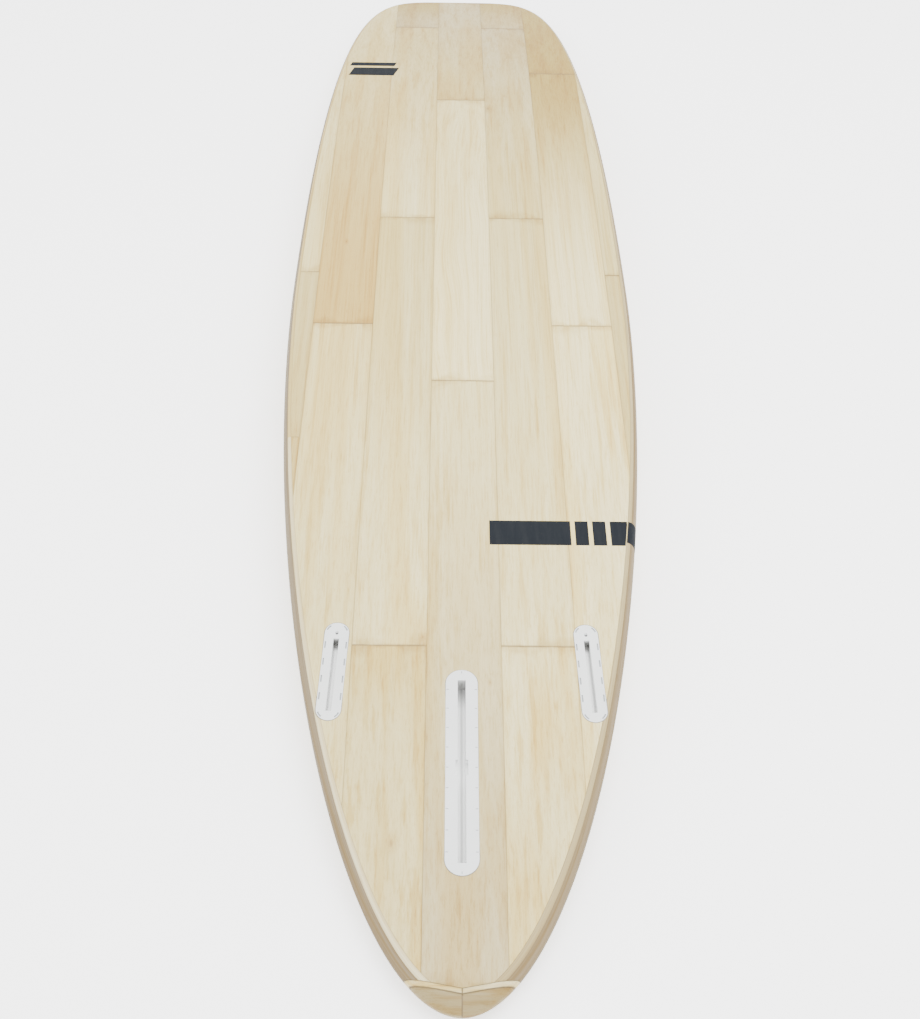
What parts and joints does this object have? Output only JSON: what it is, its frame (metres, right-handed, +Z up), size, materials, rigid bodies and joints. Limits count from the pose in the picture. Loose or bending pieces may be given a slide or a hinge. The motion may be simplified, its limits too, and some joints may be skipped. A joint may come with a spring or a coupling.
{
  "type": "surfboard",
  "caption": "Wood-skinned foam surfboard lying deck down, with plank bottom, laminated rails, a long centre fin box and two side fin boxes.",
  "frame": {"origin": "on the floor, under the middle of the board, which lies deck down on its nose and tail tips", "axes": "+Y from the tail to the nose, +Z up and out of the board's bottom, +X to the right when the nose points away"},
  "size_m": [0.546, 2.438, 0.1052],
  "materials": {
    "paulownia": "satin",
    "rail_wood": "satin",
    "pale_wood": "satin",
    "core_foam": "matte",
    "dense_foam": "matte",
    "printed_film": "satin",
    "box_plastic": "satin",
    "black_plastic": "satin",
    "seal_rubber": "matte",
    "stainless": "satin"
  },
  "bodies": {
    "board": {"bottom_plank_centre_nose": "paulownia", "bottom_plank_centre_middle": "paulownia", "bottom_plank_centre_tail": "paulownia", "bottom_plank_inner_left_nose": "paulownia", "bottom_plank_inner_left_front": "paulownia", "bottom_plank_inner_left_middle": "paulownia", "bottom_plank_inner_left_tail": "paulownia", "bottom_plank_inner_right_nose": "paulownia", "bottom_plank_inner_right_front": "paulownia", "bottom_plank_inner_right_middle": "paulownia", "bottom_plank_inner_right_tail": "paulownia", "bottom_plank_outer_left_nose": "paulownia", "bottom_plank_outer_left_tail": "paulownia", "bottom_plank_outer_right_nose": "paulownia", "bottom_plank_outer_right_middle": "paulownia", "bottom_plank_outer_right_tail": "paulownia", "bottom_plank_edge_left_nose": "paulownia", "bottom_plank_edge_left_middle": "paulownia", "bottom_plank_edge_left_tail": "paulownia", "bottom_plank_edge_right_nose": "paulownia", "bottom_plank_edge_right_tail": "paulownia", "deck_plank_centre": "paulownia", "deck_plank_inner_left": "paulownia", "deck_plank_inner_right": "paulownia", "deck_plank_outer_left": "paulownia", "deck_plank_outer_right": "paulownia", "deck_plank_edge_left": "paulownia", "deck_plank_edge_right": "paulownia", "foam_core": "core_foam", "rail_outer_left": "rail_wood", "rail_outer_right": "rail_wood", "rail_middle_left": "paulownia", "rail_middle_right": "paulownia", "rail_inner_left": "paulownia", "rail_inner_right": "paulownia", "tail_block_left": "rail_wood", "tail_block_right": "rail_wood", "tail_strip_left": "pale_wood", "tail_strip_right": "pale_wood", "stripe_decal": "printed_film", "nose_bar_heavy": "printed_film", "nose_bar_thin": "printed_film", "centre_fin_box": "box_plastic", "side_fin_box_left": "box_plastic", "side_fin_box_right": "box_plastic", "centre_box_insert": "dense_foam", "side_box_insert_left": "dense_foam", "side_box_insert_right": "dense_foam", "leash_cup": "black_plastic", "leash_bar": "stainless", "leash_insert": "dense_foam", "vent_body": "black_plastic"},
    "set_screw_left": {"set_screw_left": "stainless"},
    "set_screw_right": {"set_screw_right": "stainless"},
    "vent_screw": {"vent_screw": "stainless", "vent_seal": "seal_rubber"}
  },
  "joints": [
    {"name": "set_screw_left_drive", "type": "slide", "parent": "board", "child": "set_screw_left", "axis": [0.0247, 0.647, 0.7621], "range_m": [-0.002, 0.006]},
    {"name": "set_screw_right_drive", "type": "slide", "parent": "board", "child": "set_screw_right", "axis": [-0.0247, 0.647, 0.7621], "range_m": [-0.002, 0.006]},
    {"name": "vent_screw_drive", "type": "slide", "parent": "board", "child": "vent_screw", "axis": [0, -0.0132, -0.9999], "range_m": [0, 0.008]}
  ]
}
